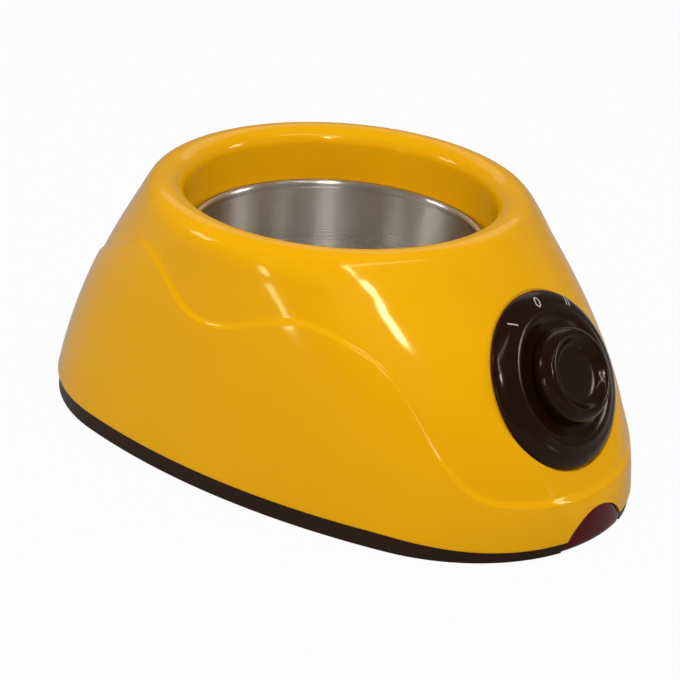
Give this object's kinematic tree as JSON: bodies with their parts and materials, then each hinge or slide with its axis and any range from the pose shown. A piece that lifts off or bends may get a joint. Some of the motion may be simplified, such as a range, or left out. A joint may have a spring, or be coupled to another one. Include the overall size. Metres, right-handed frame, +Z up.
{
  "type": "chocolate melting pot",
  "caption": "Egg-shaped electric melting pot: plastic housing with a round collar, lift-out metal pot in a heated dish, rotary dial on the nose and a lamp lens.",
  "frame": {"origin": "on the table under the middle of the housing", "axes": "+Z up, -Y towards the nose with the dial, +Y towards the cord inlet, +X to the right when looking along +Y"},
  "size_m": [0.1268, 0.2, 0.082],
  "materials": {
    "housing_plastic": "glossy moulded yellow plastic",
    "dial_plastic": "glossy dark brown plastic",
    "base_plastic": "fine matte dark brown plastic",
    "pot_metal": "spun and satin finished",
    "dish_metal": "pressed, satin",
    "steel": "zinc plated",
    "lens": "dark red translucent",
    "rubber": "matte black",
    "silicone": "grey silicone",
    "mica": "matte mica sheet",
    "element": "wound resistance ribbon",
    "thermostat_case": "black phenolic with a metal cap",
    "brass": "stamped",
    "terminal_plastic": "white nylon",
    "lamp_glass": "clear neon envelope",
    "lead_sleeve": "silicone sleeving"
  },
  "bodies": {
    "base": {"housing_shell": "housing_plastic", "base_plate": "base_plastic", "rubber_feet": "rubber", "base_screws": "steel", "heating_dish": "dish_metal", "dish_gasket": "silicone", "dish_screws": "steel", "upper_mica": "mica", "heating_element": "element", "lower_mica": "mica", "clamp_plate": "steel", "heat_shield": "steel", "clamp_nuts": "steel", "shield_spacers": "steel", "shield_nuts": "steel", "thermostat": "thermostat_case", "thermostat_bracket": "steel", "bracket_screws": "steel", "thermal_fuse": "terminal_plastic", "fuse_clip": "steel", "rotary_switch": "thermostat_case", "switch_nut": "steel", "switch_terminals": "brass", "indicator_lens": "lens", "indicator_lamp": "lamp_glass", "lamp_holder": "terminal_plastic", "cord_inlet_bush": "base_plastic", "terminal_block": "terminal_plastic", "terminal_screws": "brass", "thermostat_lead": "lead_sleeve", "switch_lead": "lead_sleeve", "fuse_lead": "lead_sleeve", "element_lead": "lead_sleeve"},
    "dial": {"dial_skirt": "dial_plastic", "dial_knob": "dial_plastic", "switch_shaft": "steel"},
    "pot": {"pot": "pot_metal"}
  },
  "joints": [
    {"name": "dial_turn", "type": "hinge", "parent": "base", "child": "dial", "pos_m": [0, -0.0789, 0.0454], "axis": [0, -0.8601, 0.5101], "range_deg": [-35, 35]},
    {"name": "pot_lift", "type": "slide", "parent": "base", "child": "pot", "axis": [0, 0, 1], "range_m": [0, 0.065]}
  ]
}
